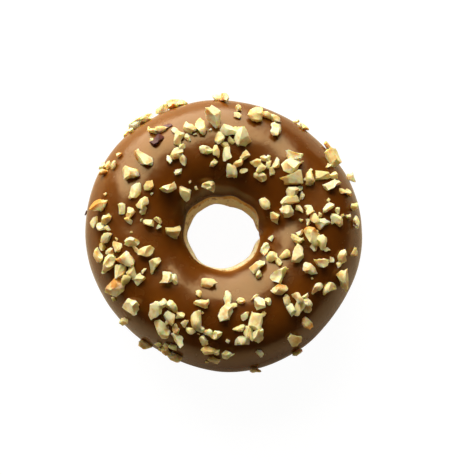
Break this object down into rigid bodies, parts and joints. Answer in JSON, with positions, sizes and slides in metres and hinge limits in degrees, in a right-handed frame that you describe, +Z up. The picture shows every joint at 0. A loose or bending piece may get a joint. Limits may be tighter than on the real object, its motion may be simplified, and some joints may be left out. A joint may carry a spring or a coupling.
{
  "type": "hazelnut doughnut",
  "caption": "Whole ring doughnut of fried dough, dipped in milk-chocolate glaze down to just below its waist and strewn with chopped hazelnuts.",
  "frame": {"origin": "on the resting plane, under the middle of the ring", "axes": "+Z up, out of the glazed side; the flat base rests on the plane; -Y is the side nearest the viewer in the picture"},
  "size_m": [0.0904, 0.0928, 0.0378],
  "materials": {
    "dough": "matt fried crust, golden brown, paler at the waist",
    "glaze": "satin milk-chocolate glaze",
    "hazelnut": "dry cut nut, cream to toasted gold"
  },
  "bodies": {
    "root": {"dough_ring": "dough", "chocolate_glaze": "glaze"}
  },
  "joints": []
}
